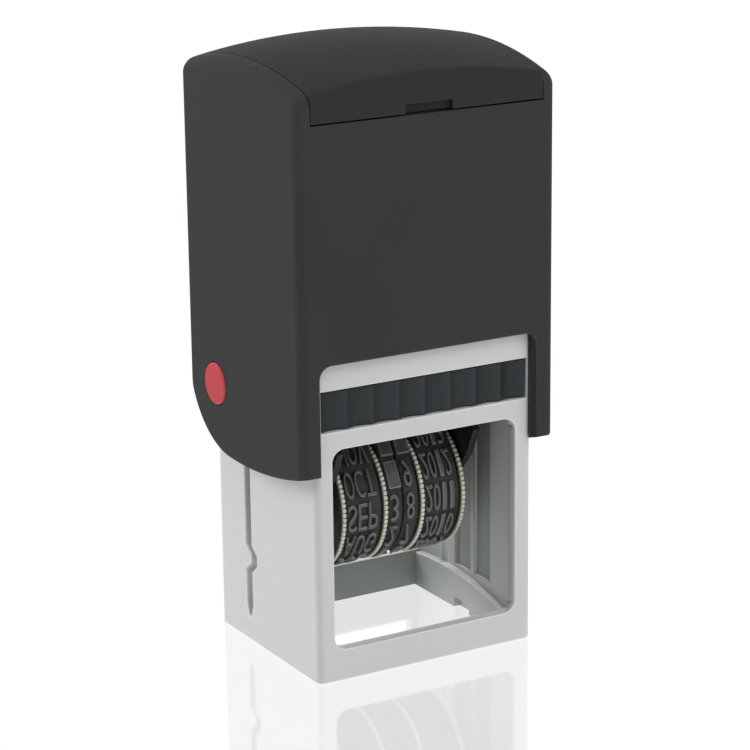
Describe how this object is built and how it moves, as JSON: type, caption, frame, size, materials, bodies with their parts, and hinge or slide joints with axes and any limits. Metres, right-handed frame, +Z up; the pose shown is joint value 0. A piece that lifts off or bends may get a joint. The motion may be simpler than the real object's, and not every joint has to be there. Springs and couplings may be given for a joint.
{
  "type": "self-inking date stamp",
  "caption": "Self-inking date stamp whose arched cover slides over a windowed frame and flips a unit of rubber date bands from the ink pad down to the paper.",
  "frame": {"origin": "on the table under the middle of the stamp", "axes": "+Z up along the press, -Y the front with the grip, +X to the stamp's right seen from the front"},
  "size_m": [0.0448, 0.0368, 0.0948],
  "materials": {
    "frame_plastic": "satin light grey moulding",
    "cover_plastic": "fine matt charcoal moulding",
    "cap_plastic": "satin charcoal moulding",
    "card": "plain paper card",
    "button_red": "glossy red moulding",
    "black_plastic": "matt black moulding",
    "tray_plastic": "satin blue-black moulding",
    "spring_steel": "drawn spring wire",
    "pin_steel": "turned steel",
    "pad_felt": "inked felt",
    "band_rubber": "dark grey stamp rubber",
    "wheel_plastic": "cream moulding",
    "white_plastic": "natural white moulding"
  },
  "bodies": {
    "frame": {"frame": "frame_plastic", "return_spring": "spring_steel"},
    "cover": {"cover_shell": "cover_plastic", "yoke": "black_plastic", "index_card": "card"},
    "cap": {"top_cap": "cap_plastic"},
    "pad": {"pad_tray": "tray_plastic", "ink_pad": "pad_felt"},
    "lock_left": {"lock_button_left": "button_red"},
    "lock_right": {"lock_button_right": "button_red"},
    "date_unit": {"carrier_plate_left": "black_plastic", "carrier_plate_right": "black_plastic", "nose_bar": "black_plastic", "pivot_pin_left": "pin_steel", "pivot_pin_right": "pin_steel", "wheel_spindle": "pin_steel", "spindle_clips": "pin_steel", "spindle_washers": "white_plastic", "month_band": "band_rubber", "day_tens_band": "band_rubber", "day_units_band": "band_rubber", "year_band": "band_rubber"},
    "month_setting": {"month_wheel": "wheel_plastic"},
    "day_tens_setting": {"day_tens_wheel": "wheel_plastic"},
    "day_units_setting": {"day_units_wheel": "wheel_plastic"},
    "year_setting": {"year_wheel": "wheel_plastic"}
  },
  "joints": [
    {"name": "press", "type": "slide", "parent": "frame", "child": "cover", "axis": [0, 0, 1], "range_m": [-0.0145, 0], "stiffness_N_per_m": 600, "springref_m": 0.008, "deforming": ["return_spring"]},
    {"name": "flip", "type": "hinge", "parent": "cover", "child": "date_unit", "pos_m": [0, 0, 0.027], "axis": [1, 0, 0], "range_deg": [-180, 0]},
    {"name": "month_turn", "type": "hinge", "parent": "date_unit", "child": "month_setting", "pos_m": [0, 0, 0.0232], "axis": [1, 0, 0], "continuous": true},
    {"name": "day_tens_turn", "type": "hinge", "parent": "date_unit", "child": "day_tens_setting", "pos_m": [0, 0, 0.0232], "axis": [1, 0, 0], "continuous": true},
    {"name": "day_units_turn", "type": "hinge", "parent": "date_unit", "child": "day_units_setting", "pos_m": [0, 0, 0.0232], "axis": [1, 0, 0], "continuous": true},
    {"name": "year_turn", "type": "hinge", "parent": "date_unit", "child": "year_setting", "pos_m": [0, 0, 0.0232], "axis": [1, 0, 0], "continuous": true},
    {"name": "cap_lift", "type": "slide", "parent": "cover", "child": "cap", "axis": [0, 0, 1], "range_m": [0, 0.012]},
    {"name": "pad_slide", "type": "slide", "parent": "frame", "child": "pad", "axis": [0, -1, 0], "range_m": [0, 0.034]},
    {"name": "lock_left_push", "type": "slide", "parent": "cover", "child": "lock_left", "axis": [1, 0, 0], "range_m": [0, 0.001], "stiffness_N_per_m": 200, "springref_m": -0.001},
    {"name": "lock_right_push", "type": "slide", "parent": "cover", "child": "lock_right", "axis": [-1, 0, 0], "range_m": [0, 0.001], "stiffness_N_per_m": 200, "springref_m": -0.001}
  ],
  "couplings": [
    {"joint": "flip", "follows": "press", "rad_per_m": 216.66}
  ]
}
